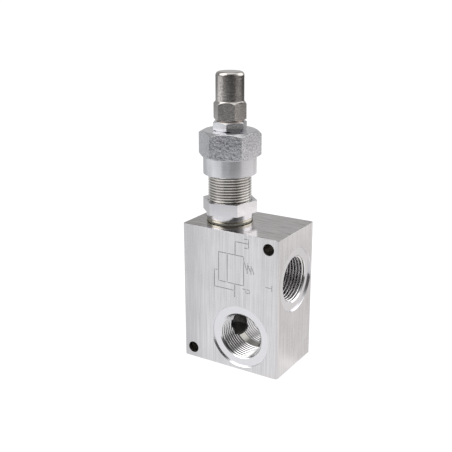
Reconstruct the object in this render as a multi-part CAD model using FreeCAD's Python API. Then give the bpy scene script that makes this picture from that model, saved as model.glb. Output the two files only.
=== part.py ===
import FreeCAD, Part
import math
import os

Vector = FreeCAD.Vector

# Pressure relief valve in a tapped aluminium block. Lengths are in millimetres.
# Origin at the bottom centre of the block, front face towards -Y, cartridge upright along +Z.

# Valve block, sawn from an extruded bar
block_width = 60.0
block_depth = 40.0
block_height = 79.0
bar_corner_radius = 1.8
sawn_edge_chamfer = 0.35

# Ports G 3/4, drawn at the crest of the thread, which is milled wider than the drilled hole
port_core_radius = 12.06
port_drill_radius = 11.75
p_front_thread_end = 15.5
p_back_thread_length = 17.0
t_thread_length = 16.0
port_mouth_radius = 13.25
spot_face_radius = 17.65
spot_face_depth = 1.0
p_port_from_left = 36.7
p_port_from_bottom = 19.7
t_port_from_top = 27.5

# Two mounting holes that run front to back
mounting_hole_radius = 3.25
mounting_hole_from_side = 6.2
mounting_hole_from_end = 5.8

# Cavity for the cartridge, drilled from the top
cartridge_from_left = 18.2
cavity_bottom_below_p_axis = 7.2
drill_point_half_angle = 59.0
seal_bore_radius = 10.35
seal_bore_below_t_wall = 0.45
lead_in_angle = 20.0
relief_bore_radius = 11.25
cavity_thread_length = 19.5
cavity_mouth_radius = 12.7

# Clearances
thread_gap = 0.05
running_gap = 0.04
slip_gap = 0.03
seal_gap = 0.02
contact_gap = 0.03

# Edges shared by several pieces, and how far a cutter runs past the metal
edge_break = 0.4
hole_chamfer = 0.5
run_out = 1.0

# Cartridge sleeve with its M24 x 1.5 outside thread
sleeve_thread_radius = 11.85
sleeve_thread_pitch = 1.5
thread_groove_depth = 0.85
thread_groove_width = 1.3
sleeve_height_above_block = 40.0
sleeve_bore_radius = 8.25
sleeve_waist_radius = 10.0
sleeve_top_chamfer = 0.5
nose_above_p_wall = 0.8
nose_length = 7.2
nose_edge_chamfer = 0.5
nose_groove_from_end = 1.7
nose_groove_width = 4.0
nose_groove_depth = 1.95
window_radius = 3.0
window_count = 4
window_above_nose = 7.8
neck_radius = 10.4
neck_below_top = 2.1
neck_above_top = 1.6

# Seat, held in the nose of the sleeve
seat_radius = 7.4
seat_length = 7.0
seat_bore_radius = 4.25
seat_mouth_radius = 5.4
seat_mouth_depth = 1.2
seat_groove_from_end = 2.4
seat_groove_width = 2.1
seat_groove_depth = 1.3
seat_stop_radius = 6.6
seat_stop_length = 0.9
retaining_ring_thickness = 1.0
retaining_ring_depth = 0.55
retaining_ring_width = 1.3
retaining_ring_gap = 5.0
retaining_ring_land = 0.2

# Poppet and the plate on it
poppet_cone_half_angle = 30.0
poppet_head_radius = 6.0
poppet_neck_radius = 4.2
poppet_stem_length = 6.0
poppet_flat_from_axis = 3.0
poppet_flat_count = 3
poppet_top_above_seat = 11.0
poppet_cone_inset = 0.6
poppet_undercut = 0.8
poppet_rim_height = 0.8
poppet_seat_gap = 0.05
plate_radius = 7.9
plate_thickness = 3.0
plate_recess_depth = 1.5
plate_pilot_height = 3.2
plate_pilot_chamfer = 1.0
plate_flat_from_axis = 7.2
plate_flat_count = 3

# Main spring, wound from square wire
spring_mean_radius = 6.1
spring_wire_width = 2.6
spring_wire_height = 2.5
spring_open_pitch = 5.6
spring_closed_turns = 1.0
spring_closed_pitch = 2.6
spring_ground_off = 1.1
spring_pilot_gap = 0.3

# Upper spring plate under the adjusting screw
upper_plate_below_sleeve_top = 13.7
upper_plate_thickness = 4.0
upper_plate_stem_radius = 6.5
upper_plate_stem_height = 7.5
upper_plate_recess_depth = 3.0
upper_plate_recess_gap = 0.3

# Adjusting screw M10 x 1.5
screw_radius = 5.0
screw_tip_radius = 3.7
screw_tip_length = 3.4
screw_shoulder_slope = 0.8
screw_shoulder_chamfer = 0.3
screw_top_above_housing = 21.0
screw_edge_chamfer = 0.9
screw_socket_flats = 5.0
screw_socket_depth = 6.0

# Spring housing, turned from hexagon bar
housing_bottom_below_sleeve_top = 13.6
housing_skirt_radius = 14.575
housing_skirt_chamfer = 0.3
housing_skirt_height = 9.2
housing_hex_height = 14.4
housing_flats = 29.7
housing_turn = 22.5
housing_top_land_radius = 14.2
housing_chamfer_angle = 30.0
housing_roof_above_sleeve = 2.5
housing_groove_below_sleeve_top = 2.9
housing_seal_neck_radius = 10.3
housing_seal_groove_width = 2.0
housing_thread_lead_in = 0.8

# Lock nut of the adjusting screw
lock_nut_flats = 16.6
lock_nut_height = 4.95
lock_nut_turn = 50.2
lock_nut_chamfer_angle = 30.0
lock_nut_top_land_radius = 7.9
lock_nut_bottom_land_radius = 8.4
lock_nut_recess_radius = 6.8
lock_nut_seal_thickness = 1.1
seal_washer_side_gap = 0.15

# Tall cap nut over the adjusting screw
cap_bottom_above_nut = 0.3
cap_top_above_housing = 31.0
cap_flats = 15.7
cap_turn = 17.9
cap_barrel_radius = 7.65
cap_hex_top_above_housing = 15.6
cap_bottom_land_radius = 7.4
cap_bottom_chamfer_angle = 30.0
cap_top_chamfer_angle = 45.0
cap_rim_radius = 2.0
cap_thread_length = 10.5
cap_blind_radius = 5.4
cap_end_wall = 2.6
cap_recess_radius = 7.0
cap_washer_thickness = 1.1

# Lock nut of the sleeve, with its round collar, and the washer under it
sleeve_nut_flats = 26.8
sleeve_nut_turn = 16.2
sleeve_nut_top_above_block = 11.9
sleeve_nut_hex_bottom_above_block = 5.1
sleeve_nut_collar_radius = 13.0
sleeve_nut_edge = 0.25
sleeve_nut_mouth_radius = 12.6
mouth_washer_radius = 12.8
mouth_washer_thickness = 1.2
mouth_washer_inside_radius = 11.9

# Sealing rings, eight-sided in section where they press on their walls. Those in grooves fill the groove.
seal_sides = 8
nose_backup_thickness = 1.3
backup_cut_width = 0.3
backup_cut_angle = 25.0
mouth_ring_radius = 11.75
mouth_ring_section_radius = 0.68

# Places worked out from the values above
left_face = -block_width / 2
front_face = -block_depth / 2
right_face = block_width / 2
back_face = block_depth / 2
top_face = block_height
cartridge_x = left_face + cartridge_from_left
cartridge_y = 0.0
p_port_x = left_face + p_port_from_left
p_port_z = p_port_from_bottom
t_port_z = top_face - t_port_from_top
cavity_bottom = p_port_z - cavity_bottom_below_p_axis
seal_bore_top = t_port_z - port_core_radius - seal_bore_below_t_wall
cavity_thread_radius = sleeve_thread_radius + thread_gap
cavity_thread_bottom = top_face - cavity_thread_length
nose_bottom = p_port_z + port_core_radius + nose_above_p_wall
nose_top = nose_bottom + nose_length
nose_radius = seal_bore_radius - running_gap
seat_pocket_radius = seat_radius + slip_gap
ring_groove_bottom = nose_bottom + nose_edge_chamfer + retaining_ring_land
seat_bottom = ring_groove_bottom + retaining_ring_thickness + slip_gap
seat_top = seat_bottom + seat_length
chamber_bottom = seat_top + seat_stop_length + sleeve_bore_radius - seat_stop_radius
sleeve_top = top_face + sleeve_height_above_block
window_z = nose_top + window_above_nose
poppet_top = seat_top + poppet_top_above_seat
plate_bottom = poppet_top - plate_recess_depth
spring_bottom = plate_bottom + plate_thickness
upper_flange_top = sleeve_top - upper_plate_below_sleeve_top
spring_top = upper_flange_top - upper_plate_thickness
spring_length = spring_top - spring_bottom
upper_plate_top = upper_flange_top + upper_plate_stem_height
screw_bottom = upper_plate_top - upper_plate_recess_depth + contact_gap
housing_bottom = sleeve_top - housing_bottom_below_sleeve_top
housing_hex_bottom = housing_bottom + housing_skirt_height
housing_top = housing_hex_bottom + housing_hex_height
screw_top = housing_top + screw_top_above_housing
housing_roof = sleeve_top + housing_roof_above_sleeve
housing_seal_groove_top = sleeve_top - housing_groove_below_sleeve_top + housing_seal_groove_width
screw_hole_radius = screw_radius + thread_gap
lock_seal_bottom = housing_top + contact_gap
lock_nut_bottom = lock_seal_bottom + contact_gap
lock_nut_top = lock_nut_bottom + lock_nut_height
cap_washer_bottom = lock_nut_top + contact_gap
cap_bottom = lock_nut_top + cap_bottom_above_nut
cap_top = housing_top + cap_top_above_housing
cap_hex_top = housing_top + cap_hex_top_above_housing
sleeve_nut_hex_bottom = top_face + sleeve_nut_hex_bottom_above_block
sleeve_nut_top = top_face + sleeve_nut_top_above_block
mouth_ring_z = top_face + mouth_ring_radius - cavity_mouth_radius
mouth_ring_z += (mouth_ring_section_radius + seal_gap) * math.sqrt(2)
mouth_washer_bottom = mouth_ring_z + mouth_ring_section_radius + seal_gap
sleeve_nut_bottom = mouth_washer_bottom + mouth_washer_thickness
pilot_radius = spring_mean_radius - spring_wire_width / 2 - spring_pilot_gap


def turned(outline):
    # Solid of revolution about the cartridge axis. The outline is a closed run of
    # (radius, height) points.
    corners = [Vector(radius, 0, height) for radius, height in outline]
    face = Part.Face(Part.makePolygon(corners + [corners[0]]))
    solid = face.revolve(Vector(0, 0, 0), Vector(0, 0, 1), 360)
    solid.translate(Vector(cartridge_x, cartridge_y, 0))
    return solid


def on_axis(solid):
    solid.translate(Vector(cartridge_x, cartridge_y, 0))
    return solid


def corner_radius(flats):
    return flats / math.sqrt(3)


def rise(run, angle):
    return run * math.tan(math.radians(angle))


def hexagon(flats, bottom, top, turn):
    corners = []
    for number in range(6):
        angle = math.radians(turn + 60 * number)
        corner = Vector(math.cos(angle), math.sin(angle), 0) * corner_radius(flats)
        corners.append(corner + Vector(0, 0, bottom))
    face = Part.Face(Part.makePolygon(corners + [corners[0]]))
    return on_axis(face.extrude(Vector(0, 0, top - bottom)))


def o_ring(ring_radius, section_radius, height):
    # The flats of the section lie at the section's radius
    outline = []
    for side in range(seal_sides):
        angle = 2 * math.pi * (side + 0.5) / seal_sides
        reach = section_radius / math.cos(math.pi / seal_sides)
        outline.append((ring_radius + reach * math.cos(angle), height + reach * math.sin(angle)))
    return turned(outline)


def o_ring_between(inner_wall, outer_wall, height):
    # Ring that fills the space between two round walls
    section_radius = (outer_wall - inner_wall) / 2 - seal_gap
    return o_ring((inner_wall + outer_wall) / 2, section_radius, height)


def bored(outside, bore):
    return outside.cut(bore).removeSplitter()


def cavity_cutter():
    # Outline of the drilled and stepped cavity, from the drill point upwards
    drill_point = cavity_bottom - seal_bore_radius / math.tan(math.radians(drill_point_half_angle))
    lead_in = (relief_bore_radius - seal_bore_radius) / math.tan(math.radians(lead_in_angle))
    thread_run_in = cavity_thread_radius - relief_bore_radius
    mouth_chamfer = cavity_mouth_radius - cavity_thread_radius
    above = top_face + run_out
    return turned([
        (0, drill_point),
        (seal_bore_radius, cavity_bottom),
        (seal_bore_radius, seal_bore_top),
        (relief_bore_radius, seal_bore_top + lead_in),
        (relief_bore_radius, cavity_thread_bottom - thread_run_in),
        (cavity_thread_radius, cavity_thread_bottom),
        (cavity_thread_radius, top_face - mouth_chamfer),
        (cavity_mouth_radius, top_face),
        (cavity_mouth_radius, above),
        (0, above),
    ])


def port_cutter(mouth, inwards, thread_end, length):
    # Spot face, countersink, thread crests and drilled hole of one port, cut from a face of the block
    floor = spot_face_depth
    countersink = floor + port_mouth_radius - port_core_radius
    outline = [
        (0, -run_out),
        (spot_face_radius, -run_out),
        (spot_face_radius, floor),
        (port_mouth_radius, floor),
        (port_core_radius, countersink),
        (port_core_radius, thread_end),
        (port_drill_radius, thread_end),
        (port_drill_radius, length),
        (0, length),
    ]
    corners = [Vector(radius, 0, depth) for radius, depth in outline]
    face = Part.Face(Part.makePolygon(corners + [corners[0]]))
    cutter = face.revolve(Vector(0, 0, 0), Vector(0, 0, 1), 360)
    cutter.Placement = FreeCAD.Placement(mouth, FreeCAD.Rotation(Vector(0, 0, 1), inwards))
    return cutter


def make_valve_block():
    corner = Vector(left_face, front_face, 0)
    block = Part.makeBox(block_width, block_depth, block_height, corner)
    upright = [edge for edge in block.Edges if edge.BoundBox.ZLength > block_height / 2]
    block = block.makeFillet(bar_corner_radius, upright)
    sawn = [edge for edge in block.Edges if edge.BoundBox.ZLength < block_height / 2]
    block = block.makeChamfer(sawn_edge_chamfer, sawn)
    block = block.cut(cavity_cutter())
    p_front = Vector(p_port_x, front_face, p_port_z)
    p_back = Vector(p_port_x, back_face, p_port_z)
    t_mouth = Vector(right_face, 0, t_port_z)
    back_thread_end = spot_face_depth + p_back_thread_length
    block = block.cut(port_cutter(p_front, Vector(0, 1, 0), p_front_thread_end, block_depth / 2))
    block = block.cut(port_cutter(p_back, Vector(0, -1, 0), back_thread_end, block_depth / 2))
    block = block.cut(port_cutter(t_mouth, Vector(-1, 0, 0), t_thread_length, right_face - cartridge_x))
    for side, height in (
        (left_face + mounting_hole_from_side, mounting_hole_from_end),
        (right_face - mounting_hole_from_side, top_face - mounting_hole_from_end),
    ):
        start = Vector(side, front_face - run_out, height)
        length = block_depth + 2 * run_out
        hole = Part.makeCylinder(mounting_hole_radius, length, start, Vector(0, 1, 0))
        block = block.cut(hole)
    return block.removeSplitter()


def sleeve_thread_outline(start, end):
    # Points of the thread's crests and roots between two heights
    outline = []
    count = int((end - start) / sleeve_thread_pitch)
    for number in range(count):
        middle = start + sleeve_thread_pitch * (number + 0.5)
        outline.append((sleeve_thread_radius, middle - thread_groove_width / 2))
        outline.append((sleeve_thread_radius - thread_groove_depth, middle))
        outline.append((sleeve_thread_radius, middle + thread_groove_width / 2))
    return outline


def make_cartridge_sleeve():
    groove_bottom = nose_bottom + nose_groove_from_end
    groove_top = groove_bottom + nose_groove_width
    groove_radius = seal_bore_radius - nose_groove_depth
    thread_start = cavity_thread_bottom + sleeve_thread_pitch
    thread_run_out = sleeve_thread_radius - sleeve_waist_radius
    neck_bottom = top_face - neck_below_top
    neck_top = top_face + neck_above_top
    neck_slope = sleeve_thread_radius - neck_radius
    seal_groove_bottom = housing_seal_groove_top - housing_seal_groove_width
    outside = [
        (0, nose_bottom),
        (nose_radius - nose_edge_chamfer, nose_bottom),
        (nose_radius, nose_bottom + nose_edge_chamfer),
        (nose_radius, groove_bottom),
        (groove_radius, groove_bottom),
        (groove_radius, groove_top),
        (nose_radius, groove_top),
        (nose_radius, nose_top),
        (sleeve_waist_radius, nose_top + nose_radius - sleeve_waist_radius),
        (sleeve_waist_radius, thread_start - thread_run_out),
        (sleeve_thread_radius, thread_start),
        (sleeve_thread_radius, neck_bottom - neck_slope),
        (neck_radius, neck_bottom),
        (neck_radius, neck_top),
        (sleeve_thread_radius, neck_top + neck_slope),
    ]
    outside += sleeve_thread_outline(sleeve_nut_top, housing_bottom)
    outside += [
        (sleeve_thread_radius, seal_groove_bottom),
        (housing_seal_neck_radius, seal_groove_bottom),
        (housing_seal_neck_radius, housing_seal_groove_top),
        (sleeve_thread_radius - sleeve_top_chamfer, housing_seal_groove_top),
        (sleeve_thread_radius - sleeve_top_chamfer, sleeve_top),
        (0, sleeve_top),
    ]
    ring_groove_radius = seat_pocket_radius + retaining_ring_depth
    ring_groove_top = ring_groove_bottom + retaining_ring_thickness + slip_gap
    chamber_slope = sleeve_bore_radius - seat_stop_radius
    inside = [
        (0, nose_bottom - run_out),
        (seat_pocket_radius, nose_bottom - run_out),
        (seat_pocket_radius, ring_groove_bottom),
        (ring_groove_radius, ring_groove_bottom),
        (ring_groove_radius, ring_groove_top),
        (seat_pocket_radius, ring_groove_top),
        (seat_pocket_radius, seat_top),
        (seat_stop_radius, seat_top),
        (seat_stop_radius, chamber_bottom - chamber_slope),
        (sleeve_bore_radius, chamber_bottom),
        (sleeve_bore_radius, sleeve_top - sleeve_top_chamfer),
        (sleeve_bore_radius + sleeve_top_chamfer, sleeve_top),
        (sleeve_bore_radius + sleeve_top_chamfer, sleeve_top + run_out),
        (0, sleeve_top + run_out),
    ]
    sleeve = turned(outside).cut(turned(inside))
    for number in range(window_count):
        angle = math.radians(45 + 360 / window_count * number)
        outwards = Vector(math.cos(angle), math.sin(angle), 0)
        centre = Vector(cartridge_x, cartridge_y, window_z)
        sleeve = sleeve.cut(Part.makeCylinder(window_radius, sleeve_thread_radius, centre, outwards))
    return sleeve


def make_valve_seat():
    groove_bottom = seat_bottom + seat_groove_from_end
    groove_top = groove_bottom + seat_groove_width
    groove_radius = seat_radius - seat_groove_depth
    return turned([
        (seat_mouth_radius, seat_bottom),
        (seat_radius, seat_bottom),
        (seat_radius, groove_bottom),
        (groove_radius, groove_bottom),
        (groove_radius, groove_top),
        (seat_radius, groove_top),
        (seat_radius, seat_top),
        (seat_bore_radius, seat_top),
        (seat_bore_radius, seat_bottom + seat_mouth_depth),
    ])


def make_seat_retaining_ring():
    outer = seat_pocket_radius + retaining_ring_depth - slip_gap
    inner = outer - retaining_ring_width
    bottom = ring_groove_bottom + slip_gap
    top = bottom + retaining_ring_thickness - slip_gap
    ring = turned([(inner, bottom), (outer, bottom), (outer, top), (inner, top)])
    corner = Vector(cartridge_x, cartridge_y - retaining_ring_gap / 2, bottom - run_out)
    gap = Part.makeBox(outer + run_out, retaining_ring_gap, top - bottom + 2 * run_out, corner)
    return ring.cut(gap)


def make_seat_o_ring():
    middle = seat_bottom + seat_groove_from_end + seat_groove_width / 2
    return o_ring_between(seat_radius - seat_groove_depth, seat_pocket_radius, middle)


def make_nose_o_ring():
    # The P side of the groove holds the O-ring, the T side its backing ring
    groove_bottom = nose_bottom + nose_groove_from_end
    free_width = nose_groove_width - nose_backup_thickness
    middle = groove_bottom + free_width / 2
    return o_ring_between(seal_bore_radius - nose_groove_depth, seal_bore_radius, middle)


def make_nose_backup_ring():
    inner = seal_bore_radius - nose_groove_depth + seal_gap
    outer = seal_bore_radius - seal_gap
    top = nose_bottom + nose_groove_from_end + nose_groove_width - seal_gap
    bottom = top - nose_backup_thickness
    ring = turned([(inner, bottom), (outer, bottom), (outer, top), (inner, top)])
    slit = Part.makeBox(outer + run_out, backup_cut_width, 4 * nose_backup_thickness)
    slit.translate(Vector(0, -backup_cut_width / 2, -2 * nose_backup_thickness))
    slit.rotate(Vector(0, 0, 0), Vector(1, 0, 0), backup_cut_angle)
    slit.translate(Vector(cartridge_x, cartridge_y, (bottom + top) / 2))
    return ring.cut(slit)


def make_poppet():
    # Fluted stem guided in the seat, cone on the seat's edge, neck under the spring plate
    slope = math.tan(math.radians(poppet_cone_half_angle))
    lift = poppet_seat_gap / math.sin(math.radians(poppet_cone_half_angle))
    stem_radius = seat_bore_radius - running_gap
    stem_bottom = seat_top - poppet_stem_length
    cone_root_radius = seat_bore_radius - poppet_cone_inset
    cone_root = seat_top + lift - (seat_bore_radius - cone_root_radius) / slope
    cone_top = seat_top + lift + (poppet_head_radius - seat_bore_radius) / slope
    rim_top = cone_top + poppet_rim_height
    stem_top = cone_root - poppet_undercut
    stem = turned([
        (0, stem_bottom),
        (stem_radius - edge_break, stem_bottom),
        (stem_radius, stem_bottom + edge_break),
        (stem_radius, stem_top),
        (0, stem_top),
    ])
    for number in range(poppet_flat_count):
        angle = 360 / poppet_flat_count * number
        flat = Part.makeBox(stem_radius, 2 * stem_radius, 2 * poppet_stem_length)
        flat.translate(Vector(poppet_flat_from_axis, -stem_radius, stem_bottom - run_out))
        flat.rotate(Vector(0, 0, 0), Vector(0, 0, 1), angle)
        stem = stem.cut(on_axis(flat))
    head = turned([
        (0, stem_top),
        (poppet_flat_from_axis, stem_top),
        (poppet_flat_from_axis, cone_root),
        (cone_root_radius, cone_root),
        (poppet_head_radius, cone_top),
        (poppet_head_radius, rim_top),
        (poppet_neck_radius, rim_top + poppet_head_radius - poppet_neck_radius),
        (poppet_neck_radius, poppet_top - edge_break),
        (poppet_neck_radius - edge_break, poppet_top),
        (0, poppet_top),
    ])
    return stem.fuse(head).removeSplitter()


def make_lower_spring_plate():
    recess_radius = poppet_neck_radius + slip_gap
    plate = turned([
        (recess_radius, plate_bottom),
        (plate_radius, plate_bottom),
        (plate_radius, spring_bottom),
        (pilot_radius, spring_bottom),
        (pilot_radius, spring_bottom + plate_pilot_height - plate_pilot_chamfer),
        (pilot_radius - plate_pilot_chamfer, spring_bottom + plate_pilot_height),
        (0, spring_bottom + plate_pilot_height),
        (0, poppet_top),
        (recess_radius, poppet_top),
    ])
    # Flats around the plate let the oil pass
    for number in range(plate_flat_count):
        flat = Part.makeBox(plate_radius, 2 * plate_radius, 2 * plate_thickness)
        flat.translate(Vector(plate_flat_from_axis, -plate_radius, plate_bottom - run_out))
        flat.rotate(Vector(0, 0, 0), Vector(0, 0, 1), 360 / plate_flat_count * number)
        plate = plate.cut(on_axis(flat))
    return plate


def spring_turns(turns, pitch, turns_below, bottom):
    # Turns of square wire at one pitch, which start where the turns below end
    half_width = spring_wire_width / 2
    half_height = spring_wire_height / 2
    corners = [
        Vector(spring_mean_radius - half_width, 0, -half_height),
        Vector(spring_mean_radius + half_width, 0, -half_height),
        Vector(spring_mean_radius + half_width, 0, half_height),
        Vector(spring_mean_radius - half_width, 0, half_height),
    ]
    helix = Part.makeHelix(pitch, pitch * turns, spring_mean_radius)
    sweep = Part.BRepOffsetAPI.MakePipeShell(Part.Wire(helix.Edges))
    sweep.setBiNormalMode(Vector(0, 0, 1))
    sweep.add(Part.makePolygon(corners + [corners[0]]))
    sweep.build()
    sweep.makeSolid()
    solid = sweep.shape()
    solid.rotate(Vector(0, 0, 0), Vector(0, 0, 1), 360 * turns_below)
    solid.translate(Vector(0, 0, bottom))
    return solid


def make_main_spring():
    # Closed turns at both ends with open turns between them, and both ends ground flat
    wire_inset = spring_wire_height / 2 - spring_ground_off
    closed_rise = spring_closed_turns * spring_closed_pitch
    open_bottom = spring_bottom + wire_inset + closed_rise
    open_top = spring_top - wire_inset - closed_rise
    open_turns = (open_top - open_bottom) / spring_open_pitch
    lower = spring_turns(spring_closed_turns, spring_closed_pitch, 0, spring_bottom + wire_inset)
    middle = spring_turns(open_turns, spring_open_pitch, spring_closed_turns, open_bottom)
    turns_below_upper = spring_closed_turns + open_turns
    upper = spring_turns(spring_closed_turns, spring_closed_pitch, turns_below_upper, open_top)
    ground = Part.makeCylinder(2 * spring_mean_radius, spring_length, Vector(0, 0, spring_bottom))
    return on_axis(lower.fuse([middle, upper]).common(ground))


def make_upper_spring_plate():
    guide_radius = sleeve_bore_radius - running_gap
    recess_radius = screw_tip_radius + upper_plate_recess_gap
    return turned([
        (0, spring_top - plate_pilot_height),
        (pilot_radius - plate_pilot_chamfer, spring_top - plate_pilot_height),
        (pilot_radius, spring_top - plate_pilot_height + plate_pilot_chamfer),
        (pilot_radius, spring_top),
        (guide_radius, spring_top),
        (guide_radius, upper_flange_top),
        (upper_plate_stem_radius, upper_flange_top),
        (upper_plate_stem_radius, upper_plate_top),
        (recess_radius, upper_plate_top),
        (recess_radius, upper_plate_top - upper_plate_recess_depth),
        (0, upper_plate_top - upper_plate_recess_depth),
    ])


def make_adjusting_screw():
    tip_top = screw_bottom + screw_tip_length
    shoulder = tip_top + screw_shoulder_slope
    screw = turned([
        (0, screw_bottom),
        (screw_tip_radius - edge_break, screw_bottom),
        (screw_tip_radius, screw_bottom + edge_break),
        (screw_tip_radius, tip_top),
        (screw_radius - screw_shoulder_chamfer, shoulder),
        (screw_radius, shoulder + screw_shoulder_chamfer),
        (screw_radius, screw_top - screw_edge_chamfer),
        (screw_radius - screw_edge_chamfer, screw_top),
        (0, screw_top),
    ])
    socket_bottom = screw_top - screw_socket_depth
    return screw.cut(hexagon(screw_socket_flats, socket_bottom, screw_top + run_out, 0))


def make_spring_housing():
    corner = corner_radius(housing_flats)
    top_drop = rise(corner - housing_top_land_radius, housing_chamfer_angle)
    bottom_rise = rise(corner - housing_skirt_radius, housing_chamfer_angle)
    envelope = turned([
        (0, housing_hex_bottom),
        (housing_skirt_radius, housing_hex_bottom),
        (corner, housing_hex_bottom + bottom_rise),
        (corner, housing_top - top_drop),
        (housing_top_land_radius, housing_top),
        (0, housing_top),
    ])
    head = hexagon(housing_flats, housing_hex_bottom, housing_top, housing_turn).common(envelope)
    skirt = turned([
        (0, housing_bottom),
        (housing_skirt_radius - housing_skirt_chamfer, housing_bottom),
        (housing_skirt_radius, housing_bottom + housing_skirt_chamfer),
        (housing_skirt_radius, housing_hex_bottom),
        (0, housing_hex_bottom),
    ])
    bore_radius = sleeve_thread_radius + thread_gap
    skirt_mouth = bore_radius + housing_thread_lead_in
    hole_mouth = screw_hole_radius + hole_chamfer
    bore = turned([
        (0, housing_bottom - run_out),
        (skirt_mouth, housing_bottom - run_out),
        (skirt_mouth, housing_bottom),
        (bore_radius, housing_bottom + housing_thread_lead_in),
        (bore_radius, housing_roof),
        (screw_hole_radius, housing_roof),
        (screw_hole_radius, housing_top - hole_chamfer),
        (hole_mouth, housing_top),
        (hole_mouth, housing_top + run_out),
        (0, housing_top + run_out),
    ])
    return bored(head.fuse(skirt), bore)


def make_housing_o_ring():
    middle = housing_seal_groove_top - housing_seal_groove_width / 2
    return o_ring_between(housing_seal_neck_radius, sleeve_thread_radius + thread_gap, middle)


def bevelled_hexagon(flats, bottom, top, turn, bottom_land, bottom_angle, top_land, top_angle):
    corner = corner_radius(flats)
    envelope = turned([
        (0, bottom),
        (bottom_land, bottom),
        (corner, bottom + rise(corner - bottom_land, bottom_angle)),
        (corner, top - rise(corner - top_land, top_angle)),
        (top_land, top),
        (0, top),
    ])
    return hexagon(flats, bottom, top, turn).common(envelope)


def make_adjuster_lock_nut():
    nut = bevelled_hexagon(
        lock_nut_flats, lock_nut_bottom, lock_nut_top, lock_nut_turn,
        lock_nut_bottom_land_radius, lock_nut_chamfer_angle,
        lock_nut_top_land_radius, lock_nut_chamfer_angle,
    )
    recess_top = lock_seal_bottom + lock_nut_seal_thickness + contact_gap
    hole_mouth = screw_hole_radius + hole_chamfer
    bore = turned([
        (0, lock_nut_bottom - run_out),
        (lock_nut_recess_radius, lock_nut_bottom - run_out),
        (lock_nut_recess_radius, recess_top),
        (screw_hole_radius, recess_top),
        (screw_hole_radius, lock_nut_top - hole_chamfer),
        (hole_mouth, lock_nut_top),
        (hole_mouth, lock_nut_top + run_out),
        (0, lock_nut_top + run_out),
    ])
    return bored(nut, bore)


def flat_washer(inner, outer, bottom, thickness):
    top = bottom + thickness
    return turned([(inner, bottom), (outer, bottom), (outer, top), (inner, top)])


def make_lock_nut_seal():
    outer = lock_nut_recess_radius - running_gap
    inner = screw_radius + seal_washer_side_gap
    return flat_washer(inner, outer, lock_seal_bottom, lock_nut_seal_thickness)


def make_cap_seal_washer():
    outer = cap_recess_radius - running_gap
    inner = screw_radius + seal_washer_side_gap
    return flat_washer(inner, outer, cap_washer_bottom, cap_washer_thickness)


def make_protective_cap():
    hexagon_part = bevelled_hexagon(
        cap_flats, cap_bottom, cap_hex_top, cap_turn,
        cap_bottom_land_radius, cap_bottom_chamfer_angle,
        cap_barrel_radius, cap_top_chamfer_angle,
    )
    centre = Vector(cartridge_x, cartridge_y, cap_bottom)
    barrel = Part.makeCylinder(cap_barrel_radius, cap_top - cap_bottom, centre)
    rim = [edge for edge in barrel.Edges if edge.BoundBox.ZMin > cap_top - cap_rim_radius]
    barrel = barrel.makeFillet(cap_rim_radius, rim)
    recess_top = cap_washer_bottom + cap_washer_thickness + contact_gap
    thread_top = recess_top + cap_thread_length
    blind_top = cap_top - cap_end_wall
    drill_point = cap_blind_radius / math.tan(math.radians(drill_point_half_angle))
    bore = turned([
        (0, cap_bottom - run_out),
        (cap_recess_radius, cap_bottom - run_out),
        (cap_recess_radius, recess_top),
        (screw_hole_radius, recess_top),
        (screw_hole_radius, thread_top),
        (cap_blind_radius, thread_top + cap_blind_radius - screw_hole_radius),
        (cap_blind_radius, blind_top - drill_point),
        (0, blind_top),
    ])
    return bored(barrel.fuse(hexagon_part), bore)


def make_sleeve_lock_nut():
    nut = hexagon(sleeve_nut_flats, sleeve_nut_hex_bottom, sleeve_nut_top, sleeve_nut_turn)
    collar = turned([
        (0, sleeve_nut_bottom),
        (sleeve_nut_collar_radius - sleeve_nut_edge, sleeve_nut_bottom),
        (sleeve_nut_collar_radius, sleeve_nut_bottom + sleeve_nut_edge),
        (sleeve_nut_collar_radius, sleeve_nut_hex_bottom),
        (0, sleeve_nut_hex_bottom),
    ])
    bore_radius = sleeve_thread_radius + thread_gap
    countersink = sleeve_nut_mouth_radius - bore_radius
    bore = turned([
        (0, sleeve_nut_bottom - run_out),
        (bore_radius, sleeve_nut_bottom - run_out),
        (bore_radius, sleeve_nut_top - countersink),
        (sleeve_nut_mouth_radius, sleeve_nut_top),
        (sleeve_nut_mouth_radius, sleeve_nut_top + run_out),
        (0, sleeve_nut_top + run_out),
    ])
    return bored(nut.fuse(collar), bore)


def make_mouth_washer():
    return flat_washer(
        mouth_washer_inside_radius, mouth_washer_radius, mouth_washer_bottom, mouth_washer_thickness,
    )


def make_mouth_o_ring():
    # Lies in the chamfer at the mouth of the cavity, under the washer
    return o_ring(mouth_ring_radius, mouth_ring_section_radius, mouth_ring_z)


pieces = {
    "valve_block": make_valve_block,
    "cartridge_sleeve": make_cartridge_sleeve,
    "valve_seat": make_valve_seat,
    "seat_retaining_ring": make_seat_retaining_ring,
    "seat_o_ring": make_seat_o_ring,
    "nose_o_ring": make_nose_o_ring,
    "nose_backup_ring": make_nose_backup_ring,
    "poppet": make_poppet,
    "lower_spring_plate": make_lower_spring_plate,
    "main_spring": make_main_spring,
    "upper_spring_plate": make_upper_spring_plate,
    "adjusting_screw": make_adjusting_screw,
    "spring_housing": make_spring_housing,
    "housing_o_ring": make_housing_o_ring,
    "adjuster_lock_nut": make_adjuster_lock_nut,
    "lock_nut_seal": make_lock_nut_seal,
    "cap_seal_washer": make_cap_seal_washer,
    "protective_cap": make_protective_cap,
    "sleeve_lock_nut": make_sleeve_lock_nut,
    "mouth_washer": make_mouth_washer,
    "mouth_o_ring": make_mouth_o_ring,
}

os.makedirs("parts", exist_ok=True)
for name, make in pieces.items():
    shape = make()
    shape.exportStep("parts/" + name + ".step")
    print(name, "volume", round(shape.Volume, 2), "solids", len(shape.Solids), "valid", shape.isValid())
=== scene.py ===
import bmesh
import bpy
import math
from mathutils import Matrix, Vector


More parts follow.
